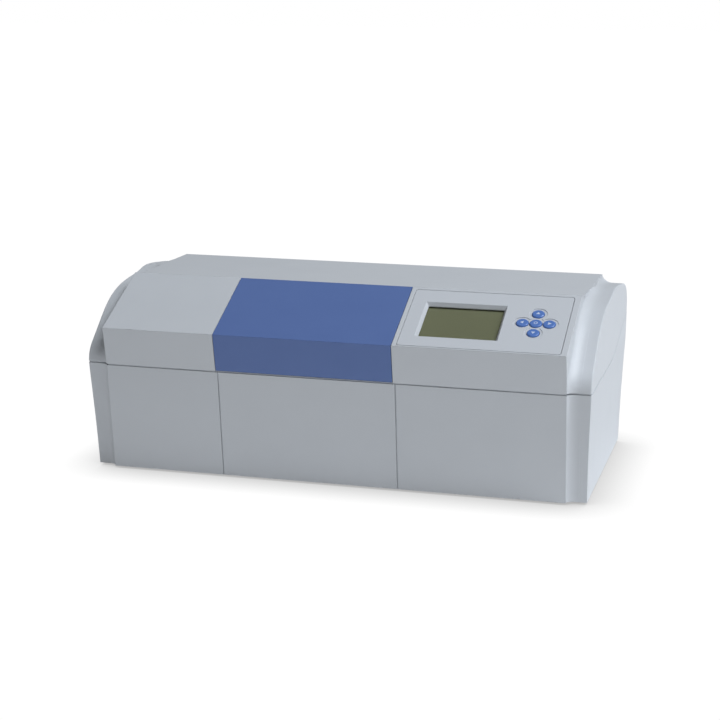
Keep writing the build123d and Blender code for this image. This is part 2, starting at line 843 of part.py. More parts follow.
# Gear motor and its bracket; the pinion sits on the motor's shaft
bracket_left = wheel_left + gear_face + 1.5
bracket_thickness = 2
bracket_front = axis_y + mount_width / 2 - 4
bracket_back = drive_y + motor_r + 1
shaft_start = wheel_left - 1
shaft_end = bracket_left + bracket_thickness - side_clearance
with BuildPart() as drive_pinion:
    facing = 180 + drive_angle + 180 / pinion_teeth
    add(spur_gear((drive_y, drive_z), wheel_left, pinion_teeth, facing).part)
    rod([(shaft_start, drive_y, drive_z)], shaft_r, shaft_end - shaft_start, along_x)
finish(drive_pinion, "drive_pinion")

with BuildPart() as motor_bracket:
    block(
        (bracket_left, bracket_front, bench_z),
        (bracket_left + bracket_thickness, bracket_back, drive_z + motor_r),
    )
    block(
        (bracket_left, bracket_front, bench_z),
        (bracket_left + 16, bench_front + bench_width, bench_z + bracket_thickness),
    )
    rod([(bracket_left - 1, drive_y, drive_z)], shaft_r + 2, 2 * bracket_thickness, along_x, Mode.SUBTRACT)
    rod([(bracket_left - 3, axis_y, axis_z)], hub_r + 3, 8, along_x, Mode.SUBTRACT)
finish(motor_bracket, "motor_bracket")

with BuildPart() as drive_motor:
    rod([(bracket_left + bracket_thickness, drive_y, drive_z)], motor_r, motor_length, along_x)
    fillet(drive_motor.edges().filter_by(GeomType.CIRCLE).sort_by(Axis.X)[-1], radius=1.5)
    rod([(bracket_left + bracket_thickness + motor_length, drive_y, drive_z)], 4, 3, along_x)
finish(drive_motor, "drive_motor")

# Objective and detector
objective_gap = 10.5
objective_left = bracket_left + bracket_thickness + objective_gap
objective_mount = optic_mount(
    objective_left, mount_thickness, 2 * lens_r + 8, lens_r - 2, lens_r, lens_pocket
)
finish(objective_mount, "objective_mount")
objective_lens = lens(objective_left + 2, lens_r, lens_seat, lens_bulge)
finish(objective_lens, "objective_lens")

focus_gap = 30
detector_left = objective_left + mount_thickness + focus_gap
detector_length = 70
detector_half = 20
detector_wall = 4
tube_inset = 8
with BuildPart() as detector_housing:
    block(
        (detector_left, axis_y - detector_half, bench_z),
        (detector_left + detector_length, axis_y + detector_half, axis_z + detector_half),
    )
    fillet(detector_housing.edges().filter_by(Axis.X).group_by(Axis.Z)[-1], radius=6)
    bore = [(detector_left + 3, axis_y, axis_z)]
    rod(bore, detector_half - detector_wall, detector_length, along_x, Mode.SUBTRACT)
    rod([(detector_left - 1, axis_y, axis_z)], aperture_r, detector_length, along_x, Mode.SUBTRACT)
    block(
        (detector_left + 3, axis_y - detector_half + detector_wall, bench_z - 1),
        (detector_left + detector_length + 1, axis_y + detector_half - detector_wall, bench_z + 26),
        Mode.SUBTRACT,
    )
finish(detector_housing, "detector_housing")

socket_length = 12
with BuildPart() as photomultiplier:
    tube_length = detector_length - socket_length - tube_inset
    rod([(detector_left + tube_inset, axis_y, axis_z)], 14, tube_length, along_x)
    fillet(photomultiplier.edges().filter_by(GeomType.CIRCLE).sort_by(Axis.X)[0], radius=2)
finish(photomultiplier, "photomultiplier")
with BuildPart() as detector_socket:
    socket_left = detector_left + detector_length - socket_length
    rod([(socket_left, axis_y, axis_z)], detector_half - detector_wall, socket_length, along_x)
finish(detector_socket, "detector_socket")

# Display panel: fascia with a bevelled window, glass, display and keypad
window_size = (window_right - window_left, window_high - window_low)
window_middle = ((window_left + window_right) / 2, (window_low + window_high) / 2)
collar_depth = 5
key_places = {
    "key_enter": (0, 0),
    "key_left": (-key_pitch_x, 0),
    "key_right": (key_pitch_x, 0),
    "key_up": (0, key_pitch_t),
    "key_down": (0, -key_pitch_t),
}
key_spots = [(key_centre[0] + x, key_centre[1] + t) for x, t in key_places.values()]
panel_clearance = 0.6
key_length = 6
mat_depth = key_length + key_travel + 0.3
mat_thickness = 2
mat_reach = (key_pitch_x + key_r + 2, key_pitch_t + key_r + 2)
board_boss_r = 2.2
board_thickness = 1.6
board_boss_gap = 3.5
pane_lap = 3
with BuildPart(slope) as display_fascia:
    with BuildSketch(slope):
        with Locations(fascia_middle):
            RectangleRounded(*[side - 2 * panel_clearance for side in fascia_size], 3)
    extrude(amount=-fascia_thickness)
    with BuildSketch(slope.offset(-fascia_thickness)):
        with Locations(window_middle):
            Rectangle(window_size[0] + 8, window_size[1] + 8)
    extrude(amount=fascia_thickness - collar_depth)
    with BuildSketch(slope):
        with Locations(window_middle):
            Rectangle(window_size[0] + bezel_rim, window_size[1] + bezel_rim)
    with BuildSketch(slope.offset(-collar_depth + 1)):
        with Locations(window_middle):
            Rectangle(*window_size)
    loft(mode=Mode.SUBTRACT)
    with BuildSketch(slope):
        with Locations(window_middle):
            Rectangle(*window_size)
    extrude(amount=-collar_depth - 1, mode=Mode.SUBTRACT)
    with BuildSketch(slope):
        with Locations(*key_spots):
            Circle(key_r + key_gap)
    extrude(amount=-fascia_thickness, mode=Mode.SUBTRACT)
    with BuildSketch(slope):
        with Locations(*key_spots):
            Circle(key_r + dish_rim)
    extrude(amount=-dish_depth, mode=Mode.SUBTRACT)
    with BuildSketch(slope.offset(-fascia_thickness)):
        with Locations(key_centre):
            with GridLocations(*[2 * (reach + board_boss_gap) for reach in mat_reach], 2, 2):
                Circle(board_boss_r)
    extrude(amount=fascia_thickness - mat_depth - mat_thickness)
finish(display_fascia, "display_fascia")

glass_thickness = 1.5
module_thickness = 6
with BuildPart() as display_window:
    with BuildSketch(slope.offset(-collar_depth)):
        with Locations(window_middle):
            Rectangle(*[side + 2 * pane_lap for side in window_size])
    extrude(amount=-glass_thickness)
finish(display_window, "display_window")

module_depth = collar_depth + glass_thickness
with BuildPart() as display_module:
    with BuildSketch(slope.offset(-module_depth)):
        with Locations(window_middle):
            Rectangle(*[side + 2 * pane_lap for side in window_size])
    extrude(amount=-module_thickness)
finish(display_module, "display_module")

for name, (x, t) in key_places.items():
    with BuildPart() as key:
        with BuildSketch(slope.offset(-key_length)):
            with Locations((key_centre[0] + x, key_centre[1] + t)):
                Circle(key_r)
        extrude(amount=key_length + key_rise)
        top_rim = key.faces().sort_by(Axis((0, 0, 0), slope_normal))[-1].edges()
        fillet(top_rim, radius=key_crown)
    finish(key, name)

with BuildPart() as keypad_mat:
    with BuildSketch(slope.offset(-mat_depth - mat_thickness)):
        with Locations(key_centre):
            RectangleRounded(2 * mat_reach[0], 2 * mat_reach[1], 4)
    extrude(amount=mat_thickness)
finish(keypad_mat, "keypad_mat")
with BuildPart() as keypad_board:
    with BuildSketch(slope.offset(-mat_depth - mat_thickness - board_thickness)):
        with Locations(key_centre):
            Rectangle(*[2 * reach + 12 for reach in mat_reach])
    extrude(amount=board_thickness)
finish(keypad_board, "keypad_board")

# Rear panel with inlet, switch, fuse and data port, seated inside the back wall
inlet_u = rear_width / 2 - 45
switch_u = inlet_u - 35
fuse_u = switch_u - 26
port_u = 70 - rear_width / 2
inlet_size = (27, 20)
switch_size = (13, 19)
fuse_r = 6
port_size = (20, 10.5)
fit = 0.2
panel_face = rear.offset(-wall)
with BuildPart() as rear_panel:
    with BuildSketch(panel_face):
        RectangleRounded(rear_width, rear_high - rear_low, 3)
        with Locations((inlet_u, 0)):
            Rectangle(*inlet_size, mode=Mode.SUBTRACT)
        with Locations((switch_u, 0)):
            Rectangle(*switch_size, mode=Mode.SUBTRACT)
        with Locations((fuse_u, 0)):
            Circle(fuse_r, mode=Mode.SUBTRACT)
        with Locations((port_u, 0)):
            Rectangle(*port_size, mode=Mode.SUBTRACT)
        with Locations((-20, 0)):
            with GridLocations(9, 0, 9, 1):
                SlotOverall(44, 3.5, rotation=90, mode=Mode.SUBTRACT)
    extrude(amount=-2)
finish(rear_panel, "rear_panel")

with BuildPart() as mains_inlet:
    with BuildSketch(panel_face):
        with Locations((inlet_u, 0)):
            RectangleRounded(inlet_size[0] + 5, inlet_size[1] + 5, 3)
    extrude(amount=2.5)
    with BuildSketch(panel_face):
        with Locations((inlet_u, 0)):
            Rectangle(inlet_size[0] - fit, inlet_size[1] - fit)
    extrude(amount=-20)
    with BuildSketch(panel_face.offset(2.5)):
        with Locations((inlet_u, 0)):
            RectangleRounded(inlet_size[0] - 4, inlet_size[1] - 4, 3)
    extrude(amount=-17, mode=Mode.SUBTRACT)
    with BuildSketch(panel_face.offset(-14.5)):
        with Locations((inlet_u, 2), (inlet_u - 7, -2), (inlet_u + 7, -2)):
            Rectangle(2, 4)
    extrude(amount=12)
finish(mains_inlet, "mains_inlet")

rocker_width = 10
rocker_height = 15
rocker_lean = 8
rocker_gap = 0.6
frame_depth = 13
axle_r = 1.2
pivot_depth = -0.5
rocker_pivot = tuple(panel_face.from_local_coords((switch_u, 0, -pivot_depth)))
rocker_plane = Plane(origin=rocker_pivot, x_dir=rear.y_dir, z_dir=rear.x_dir)
with BuildPart() as power_switch:
    with BuildSketch(panel_face):
        with Locations((switch_u, 0)):
            RectangleRounded(switch_size[0] + 3, switch_size[1] + 3, 1)
    extrude(amount=2)
    with BuildSketch(panel_face):
        with Locations((switch_u, 0)):
            Rectangle(switch_size[0] - fit, switch_size[1] - fit)
    extrude(amount=-frame_depth)
    with BuildSketch(panel_face.offset(2)):
        with Locations((switch_u, 0)):
            Rectangle(rocker_width + rocker_gap, rocker_height + 3 * rocker_gap)
    extrude(amount=-10, mode=Mode.SUBTRACT)
    with BuildSketch(rocker_plane.offset(-rocker_width / 2 - 1)):
        Circle(axle_r + running_clearance)
    extrude(amount=rocker_width + 2, mode=Mode.SUBTRACT)
finish(power_switch, "power_switch")

with BuildPart() as power_rocker:
    with BuildSketch(rocker_plane.offset(-rocker_width / 2)):
        with Locations(Rotation(0, 0, rocker_lean)):
            with BuildLine():
                Polyline(
                    (-rocker_height / 2, 3),
                    (0, 1.9),
                    (rocker_height / 2, 3),
                    (rocker_height / 2 - 0.4, -1.5),
                    (4, -5),
                    (-4, -5),
                    (0.4 - rocker_height / 2, -1.5),
                    close=True,
                )
            make_face()
    extrude(amount=rocker_width)
    with BuildSketch(rocker_plane.offset(-rocker_width / 2 - 0.7)):
        Circle(axle_r)
    extrude(amount=rocker_width + 1.4)
finish(power_rocker, "power_rocker")

with BuildPart() as fuse_holder:
    with BuildSketch(panel_face):
        with Locations((fuse_u, 0)):
            Circle(fuse_r + 2)
    extrude(amount=2)
    with BuildSketch(panel_face):
        with Locations((fuse_u, 0)):
            Circle(fuse_r - fit)
    extrude(amount=-24)
    with BuildSketch(panel_face):
        with Locations((fuse_u, 0)):
            Circle(fuse_r)
    extrude(amount=9)
finish(fuse_holder, "fuse_holder")

with BuildPart() as data_port:
    with BuildSketch(panel_face):
        with Locations((port_u, 0)):
            RectangleRounded(31, 12.5, 2)
    extrude(amount=1)
    with BuildSketch(panel_face.offset(-8)):
        with Locations((port_u, 0)):
            Trapezoid(18.5, 8.8, 80)
    extrude(amount=14)
finish(data_port, "data_port")

# Power and control electronics on the floor behind the bench
toroid = (110 - half_length, back_y - 100)
toroid_r = 45
toroid_height = 38
clamp_r = 24
clamp_thickness = 2
with BuildPart() as transformer:
    with BuildSketch(Plane.XY.offset(floor_z)):
        with Locations(toroid):
            Circle(toroid_r)
            Circle(14, mode=Mode.SUBTRACT)
    extrude(amount=toroid_height)
    fillet(transformer.edges().filter_by(GeomType.CIRCLE), radius=8)
finish(transformer, "transformer")
with BuildPart() as transformer_clamp:
    rod([(*toroid, floor_z + toroid_height)], clamp_r, clamp_thickness)
    rod([(*toroid, floor_z)], 3, toroid_height)
    rod([(*toroid, floor_z + toroid_height + clamp_thickness)], 6, 4)
finish(transformer_clamp, "transformer_clamp")

board_rise = 8
corner_inset = 5
part_height = 9
boards = {
    "power_board": (toroid[0] + toroid_r + 40, back_y - 155, 110, 100),
    "main_board": (toroid[0] + toroid_r + 180, back_y - 160, 190, 110),
}
standoff_places = []
for name, (left, front, width, depth) in boards.items():
    for x in (left + corner_inset, left + width - corner_inset):
        standoff_places += [(x, front + corner_inset), (x, front + depth - corner_inset)]
    with BuildPart() as board:
        with BuildSketch(Plane.XY.offset(floor_z + board_rise)):
            with Locations((left + width / 2, front + depth / 2)):
                Rectangle(width, depth)
        extrude(amount=board_thickness)
        with BuildSketch(Plane.XY.offset(floor_z + board_rise + board_thickness)):
            with Locations((left + width / 2, front + depth / 2)):
                with GridLocations(width / 4, depth / 3, 3, 2):
                    Rectangle(width / 7, depth / 5)
        extrude(amount=part_height)
    finish(board, name)
with BuildPart() as board_standoffs:
    with BuildSketch(Plane.XY.offset(floor_z)):
        with Locations(*standoff_places):
            RegularPolygon(3.2, 6)
    extrude(amount=board_rise)
finish(board_standoffs, "board_standoffs")
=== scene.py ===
import bpy
import math
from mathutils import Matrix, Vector


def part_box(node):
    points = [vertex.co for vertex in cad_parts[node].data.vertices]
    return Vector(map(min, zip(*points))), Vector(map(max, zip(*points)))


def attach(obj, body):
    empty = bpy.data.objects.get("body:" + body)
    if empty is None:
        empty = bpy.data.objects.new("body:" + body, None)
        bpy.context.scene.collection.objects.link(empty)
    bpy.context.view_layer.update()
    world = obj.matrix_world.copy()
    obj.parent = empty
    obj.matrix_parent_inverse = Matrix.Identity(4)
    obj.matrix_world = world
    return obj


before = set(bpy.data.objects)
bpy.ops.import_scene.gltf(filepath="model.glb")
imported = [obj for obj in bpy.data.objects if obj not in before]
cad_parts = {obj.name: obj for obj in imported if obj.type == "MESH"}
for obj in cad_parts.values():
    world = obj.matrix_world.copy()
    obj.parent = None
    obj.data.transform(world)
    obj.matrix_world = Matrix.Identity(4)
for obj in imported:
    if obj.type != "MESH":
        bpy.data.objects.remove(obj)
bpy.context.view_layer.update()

# Viewpoint: a little above the bench top and to the right of the instrument,
# far enough back for the long front to show only slight perspective.
camera_data = bpy.data.cameras.new("viewpoint")
camera_data.sensor_width = 36
camera_data.lens = 85.8
camera = bpy.data.objects.new("viewpoint", camera_data)
bpy.context.scene.collection.objects.link(camera)
camera.location = (0.5457, -1.9716, 0.6052)
aim = Vector((-0.0006, -0.0141, 0.1234))
camera.rotation_euler = (aim - camera.location).to_track_quat("-Z", "Y").to_euler()
bpy.context.scene.camera = camera
bpy.context.scene.view_settings.view_transform = "Standard"


# Socket values: sums, products and thresholds over a surface are written as
# plain expressions, and each one adds its own Math node to the tree.
class Value:
    def __init__(self, owner, socket):
        self.owner = owner
        self.socket = socket

    def combine(self, operation, first, second=0.0):
        return self.owner.node("ShaderNodeMath", {"operation": operation}, {0: first, 1: second})

    def __add__(self, other):
        return self.combine("ADD", self, other)

    __radd__ = __add__

    def __mul__(self, other):
        return self.combine("MULTIPLY", self, other)

    __rmul__ = __mul__

    def __sub__(self, other):
        return self.combine("SUBTRACT", self, other)

    def __rsub__(self, other):
        return self.combine("SUBTRACT", other, self)

    def __gt__(self, other):
        return self.combine("GREATER_THAN", self, other)

    def __lt__(self, other):
        return self.combine("LESS_THAN", self, other)

    def __abs__(self):
        return self.combine("ABSOLUTE", self)


# A shader tree, of a material or of the studio around it. All nodes but the
# first surface are made by one method: its kind, its settings, its sockets.
class Tree:
    def __init__(self, tree):
        self.tree = tree

    def node(self, kind, settings=None, inputs=None, output=0):
        made = self.tree.nodes.new(kind)
        for name, value in (settings or {}).items():
            setattr(made, name, value)
        for name, value in (inputs or {}).items():
            self.feed(made.inputs[name], value)
        return Value(self, made.outputs[output])

    def feed(self, socket, value):
        if isinstance(value, Value):
            self.tree.links.new(value.socket, socket)
        else:
            socket.default_value = value

    def rays(self, kind):
        return self.node("ShaderNodeLightPath", output=f"Is {kind} Ray")


# Sockets of a colour mix, which share their names with its plain number ones.
MIX_FACTOR, MIX_LOW, MIX_HIGH, MIX_RESULT = 0, 6, 7, 2


# A finish is one material of the instrument: it starts as a plain Principled
# surface, and patterns in real-world size are laid over it.
class Finish(Tree):
    def __init__(self, name, colour, roughness, metallic=0.0):
        self.material = bpy.data.materials.new(name)
        self.material.use_nodes = True
        super().__init__(self.material.node_tree)
        self.surface = self.tree.nodes["Principled BSDF"]
        self.set({"Base Color": (*colour, 1.0), "Roughness": roughness, "Metallic": metallic})
        self.place = self.node("ShaderNodeTexCoord", output="Object")

    def set(self, inputs):
        for name, value in inputs.items():
            self.feed(self.surface.inputs[name], value)

    def stretched(self, x, y, z):
        inputs = {0: self.place, 1: (x, y, z)}
        return self.node("ShaderNodeVectorMath", {"operation": "MULTIPLY"}, inputs)

    def axes(self):
        split = self.node("ShaderNodeSeparateXYZ", inputs={0: self.place})
        return [Value(self, socket) for socket in split.socket.node.outputs]

    def noise(self, size, detail=2.0, place=None):
        inputs = {"Vector": place or self.place, "Scale": 1 / size, "Detail": detail}
        return self.node("ShaderNodeTexNoise", None, inputs)

    def tint(self, amount, low, high):
        inputs = {MIX_FACTOR: amount}
        for end, colour in ((MIX_LOW, low), (MIX_HIGH, high)):
            inputs[end] = colour if isinstance(colour, Value) else (*colour, 1.0)
        return self.node("ShaderNodeMix", {"data_type": "RGBA"}, inputs, MIX_RESULT)

    def paint(self, amount, low, high):
        self.set({"Base Color": self.tint(amount, low, high)})

    def relief(self, height, strength, distance, edge=0.0):
        inputs = {"Height": height, "Strength": strength, "Distance": distance}
        if edge:
            inputs["Normal"] = self.node("ShaderNodeBevel", {"samples": 4}, {"Radius": edge})
        self.set({"Normal": self.node("ShaderNodeBump", None, inputs)})

    def polish(self, pattern, smoothest, spread):
        self.set({"Roughness": smoothest + spread * pattern})


def wear(nodes, finish):
    for name in nodes:
        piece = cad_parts[name]
        piece.data.materials.clear()
        piece.data.materials.append(finish.material)


# Bench top and studio: a matt white floor that glows a little, so that the
# lower front is lit from below. The camera sees it white, with a painted
# shadow where the instrument stands close over it.
floor_glow = 0.2
shadow_reach = 0.06
painted_shadow_paper, open_paper = (0.42, 0.42, 0.42), (1.02, 1.02, 1.02)
floor_finish = Finish("studio_floor", (0.86, 0.86, 0.86), roughness=0.9)
floor_finish.set({"Emission Color": (1, 1, 1, 1), "Emission Strength": floor_glow})
# painted shadow: ambient occlusion darkens the colour the camera sees near the instrument
openness = floor_finish.node(
    "ShaderNodeAmbientOcclusion", {"samples": 16}, {"Distance": shadow_reach}, output="AO"
)
paper_with_painted_shadow = floor_finish.tint(openness, painted_shadow_paper, open_paper)
paper = floor_finish.node("ShaderNodeEmission", None, {"Color": paper_with_painted_shadow})
lit = Value(floor_finish, floor_finish.surface.outputs[0])
floor_mix = {0: floor_finish.rays("Camera"), 1: lit, 2: paper}
floor_output = floor_finish.tree.nodes["Material Output"].inputs["Surface"]
floor_finish.feed(floor_output, floor_finish.node("ShaderNodeMixShader", None, floor_mix))
reach = 12.0
corners = [(reach * x, reach * y, 0) for x, y in ((-1, -1), (1, -1), (1, 1), (-1, 1))]
floor_mesh = bpy.data.meshes.new("studio_floor")
floor_mesh.from_pydata(corners, [], [(0, 1, 2, 3)])
floor_mesh.materials.append(floor_finish.material)
floor = bpy.data.objects.new("studio_floor", floor_mesh)
bpy.context.scene.collection.objects.link(floor)

room_glow = 0.045
mirror_glow = 0.3
world = bpy.data.worlds.new("studio")
world.use_nodes = True
bpy.context.scene.world = world
studio = Tree(world.node_tree)
backdrop = world.node_tree.nodes["Background"]
backdrop.inputs["Color"].default_value = (1, 1, 1, 1)
seen = studio.rays("Camera") + studio.rays("Transmission")
room = room_glow + (1 - room_glow) * seen + mirror_glow * studio.rays("Glossy")
studio.feed(backdrop.inputs["Strength"], room)

light_distance = 6
light_size = 3.0
lit_middle = Vector((0, 0, 0.1))


def soft_light(name, direction, power, colour):
    lamp = bpy.data.lights.new(name, "AREA")
    lamp.shape = "DISK"
    lamp.size = light_size
    lamp.energy = power
    lamp.color = colour
    stand = bpy.data.objects.new(name, lamp)
    stand.location = lit_middle + light_distance * Vector(direction).normalized()
    stand.rotation_euler = (lit_middle - stand.location).to_track_quat("-Z", "Y").to_euler()
    bpy.context.scene.collection.objects.link(stand)


daylight = (0.91, 0.95, 1.0)
soft_light("side_light", (0.8, -0.1, 0.8), power=135, colour=daylight)
soft_light("top_light", (0.5, -0.1, 1.0), power=210, colour=daylight)
soft_light("front_light", (0.3, -1.0, 0.12), power=14, colour=(1, 1, 1))


# Housing shells: pale grey moulded plastic with a fine spark-eroded texture.
# The lower shell carries the seams, the upper one the facets and the crowned
# ends; all edges are slightly rounded by the mould.
grey_plastic = Finish("pale_grey_plastic", (0.60, 0.625, 0.655), roughness=0.48)
grain = grey_plastic.noise(size=0.0007, detail=3.0)
mottle = grey_plastic.noise(size=0.05, detail=4.0)
grey_plastic.paint(mottle, (0.585, 0.61, 0.64), (0.62, 0.645, 0.675))
grey_plastic.polish(grain, smoothest=0.42, spread=0.12)
grey_plastic.relief(grain, strength=0.1, distance=0.0002, edge=0.0009)
wear(["base_shell", "top_cover"], grey_plastic)

# Sample compartment lid: blue moulded plastic with the same fine texture.
# It is one shell, slope and front skirt together, ribbed inside.
blue_plastic = Finish("blue_plastic", (0.095, 0.165, 0.40), roughness=0.42)
grain = blue_plastic.noise(size=0.0006, detail=3.0)
mottle = blue_plastic.noise(size=0.04, detail=4.0)
blue_plastic.paint(mottle, (0.088, 0.155, 0.385), (0.102, 0.175, 0.415))
blue_plastic.polish(grain, smoothest=0.38, spread=0.12)
blue_plastic.relief(grain, strength=0.12, distance=0.0002, edge=0.0007)
wear(["chamber_lid"], blue_plastic)

# Sample trough and its cradles: black moulded plastic and black metal, matt
# so that no stray light reaches the detector.
black_plastic = Finish("black_plastic", (0.018, 0.018, 0.02), roughness=0.55)
grain = black_plastic.noise(size=0.0008, detail=3.0)
black_plastic.polish(grain, smoothest=0.45, spread=0.25)
black_plastic.relief(grain, strength=0.15, distance=0.0002)
wear(["sample_trough"], black_plastic)
anodised = Finish("black_anodised", (0.03, 0.03, 0.034), roughness=0.38, metallic=0.85)
marks = anodised.noise(size=0.0004, detail=1.0, place=anodised.stretched(1, 1, 14))
anodised.polish(marks, smoothest=0.3, spread=0.2)
anodised.relief(marks, strength=0.06, distance=0.0001)
wear(["tube_cradles"], anodised)

# Lid hinge: two steel brackets on the shelf behind the trough, each with two
# ears and a steel pin through them.
steel = Finish("bright_steel", (0.56, 0.56, 0.57), roughness=0.3, metallic=1.0)
marks = steel.noise(size=0.0004, place=steel.stretched(1, 1, 0.1))
steel.polish(marks, smoothest=0.22, spread=0.2)
steel.relief(marks, strength=0.05, distance=0.0001)
wear(["hinge_brackets", "hinge_pins"], steel)

# Compartment windows and lenses: clear polished glass discs, each set in a
# seat of the piece that carries it, and the modulator's rod in its coil.
glass = Finish("clear_glass", (0.93, 0.96, 0.97), roughness=0.04)
glass.set({"Transmission Weight": 1.0, "IOR": 1.5})
wear(["chamber_windows", "condenser_lens", "objective_lens", "modulator_rod"], glass)

# Feet: black rubber rings with a dull moulded skin, each held by a sunk screw
# and a nut on the floor of the shell.
rubber = Finish("black_rubber", (0.02, 0.02, 0.02), roughness=0.8)
skin = rubber.noise(size=0.001, detail=3.0)
rubber.polish(skin, smoothest=0.7, spread=0.2)
rubber.relief(skin, strength=0.2, distance=0.0002)
wear(["feet"], rubber)
wear(["foot_screws", "foot_nuts", "case_screws"], steel)

# Optical bench: an aluminium channel milled along its length, on six steel
# pillars, each with one screw from above, its head sunk in the bench.
bench_metal = Finish("milled_aluminium", (0.74, 0.75, 0.77), roughness=0.35, metallic=1.0)
marks = bench_metal.noise(size=0.0005, place=bench_metal.stretched(0.05, 1, 1))
bench_metal.polish(marks, smoothest=0.25, spread=0.25)
bench_metal.relief(marks, strength=0.08, distance=0.0001)
wear(["optical_bench"], bench_metal)
wear(["bench_pillars", "bench_screws"], steel)

# Lamp: a black house on the bench, a glazed ceramic holder with faint firing
# specks, and a frosted bulb with a plated cap.
glaze, speck = (0.80, 0.78, 0.72), (0.62, 0.58, 0.50)
speck_threshold = 0.68
ceramic = Finish("glazed_ceramic", glaze, roughness=0.25)
ceramic.paint(ceramic.noise(size=0.0012, detail=4.0) > speck_threshold, glaze, speck)
wear(["lamp_holder"], ceramic)
bulb_height = 0.018
cap_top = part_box("lamp_bulb")[1][2] - bulb_height
frosted, plated = (0.9, 0.88, 0.8), (0.7, 0.66, 0.56)
bulb = Finish("frosted_bulb", frosted, roughness=0.3)
cap = bulb.axes()[2] < cap_top
frost = bulb.noise(size=0.0005)
bulb.paint(cap, frosted, plated)
bulb.set({"Metallic": cap})
bulb.polish(frost, smoothest=0.25, spread=0.1)
bulb.relief(frost, strength=0.1, distance=0.0001)
wear(["lamp_bulb"], bulb)

# Mounts and houses on the light path: machined aluminium, black anodised,
# each standing flat on the bench.
mounts = ["condenser_mount", "filter_mount", "polariser_mount", "coil_saddle", "objective_mount"]
wear(mounts, anodised)
wear(["lamp_housing", "analyser_block", "motor_bracket", "detector_housing"], anodised)

# Filter, polariser and analyser: tinted glass, a coated disc in front of two
# cemented dichroic ones.
amber = Finish("amber_glass", (0.75, 0.50, 0.12), roughness=0.05)
amber.set({"Transmission Weight": 0.8, "IOR": 1.5})
wear(["interference_filter", "polariser", "analyser_prism"], amber)

# Modulator coil and transformer: enamelled copper wire in close turns, with
# painted shade in the valleys between the turns. The coil lies between two
# black flanges, the transformer under a steel clamp.
coil_left, coil_right = [corner[0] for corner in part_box("modulator_coil")]
flange = 0.002
flange_black = (0.02, 0.02, 0.02)
# painted shade: the valleys between turns are coloured darker than the copper of the crests
painted_shade_valley, wire_crest = (0.25, 0.08, 0.02), (0.55, 0.21, 0.07)
bands = {"wave_type": "BANDS", "bands_direction": "X"}
winding = Finish("coil_winding", wire_crest, roughness=0.3)
turns = winding.node("ShaderNodeTexWave", bands, {"Vector": winding.place, "Scale": 260.0})
along = winding.axes()[0]
wound = (along > coil_left + flange) * (along < coil_right - flange)
winding.paint(wound, flange_black, winding.tint(turns, painted_shade_valley, wire_crest))
winding.relief(turns * wound, strength=0.5, distance=0.0004)
wear(["modulator_coil"], winding)
toroid_wire = Finish("toroid_winding", wire_crest, roughness=0.3)
toroid_middle = [(low + high) / 2 for low, high in zip(*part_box("transformer"))]
turn_count = 150
x, y, _ = toroid_wire.axes()
bearing = x.combine("ARCTAN2", y - toroid_middle[1], x - toroid_middle[0])
turns = x.combine("SINE", turn_count * bearing)
toroid_wire.paint(0.5 + 0.5 * turns, painted_shade_valley, wire_crest)
toroid_wire.relief(turns, strength=0.6, distance=0.0004)
wear(["transformer"], toroid_wire)
wear(["transformer_clamp"], steel)

# Analyser and its drive: a brass wheel on ball bearings, slightly tarnished
# in patches, driven by the steel pinion of a small gear motor.
brass = Finish("turned_brass", (0.72, 0.52, 0.22), roughness=0.3, metallic=1.0)
tarnish = brass.noise(size=0.004, detail=3.0)
brass.paint(tarnish, (0.78, 0.57, 0.25), (0.58, 0.40, 0.17))
brass.polish(tarnish, smoothest=0.22, spread=0.2)
wear(["analyser_wheel"], brass)
wear(["analyser_bearings", "drive_pinion", "drive_motor"], steel)

# Detector: a glass tube with a grey mirror coat inside its house, held at the
# rear by a black socket.
tube_glass = Finish("coated_tube", (0.30, 0.29, 0.30), roughness=0.12, metallic=0.6)
tube_glass.polish(tube_glass.noise(size=0.003), smoothest=0.08, spread=0.12)
wear(["photomultiplier"], tube_glass)
wear(["detector_socket"], black_plastic)

# Display panel: the same pale grey plastic as the housing, its colour a
# little cooler, with the window's bevel moulded into it.
panel_plastic = Finish("panel_plastic", (0.61, 0.635, 0.67), roughness=0.45)
grain = panel_plastic.noise(size=0.0006, detail=3.0)
panel_plastic.polish(grain, smoothest=0.4, spread=0.12)
panel_plastic.relief(grain, strength=0.1, distance=0.0002, edge=0.0006)
wear(["display_fascia"], panel_plastic)

# Display: a grey-green reflective liquid crystal, its fine dot grid just
# visible, behind a thin clear pane that stands a hair's breadth off it.
display = Finish("liquid_crystal", (0.26, 0.275, 0.155), roughness=0.6)
dots = {"Vector": display.place, "Scale": 900.0, "Mortar Size": 0.04}
cells = display.node("ShaderNodeTexBrick", None, dots, output="Fac")
display.paint(cells, (0.265, 0.28, 0.158), (0.24, 0.25, 0.142))
display.set({"IOR": 1.2})
wear(["display_module"], display)
pane = Finish("display_pane", (0.03, 0.03, 0.03), roughness=0.05)
pane.set({"Alpha": 0.12})
wear(["display_window"], pane)
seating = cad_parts["display_window"].modifiers.new("seating_gap", "DISPLACE")
seating.mid_level = 0
seating.strength = -0.0002

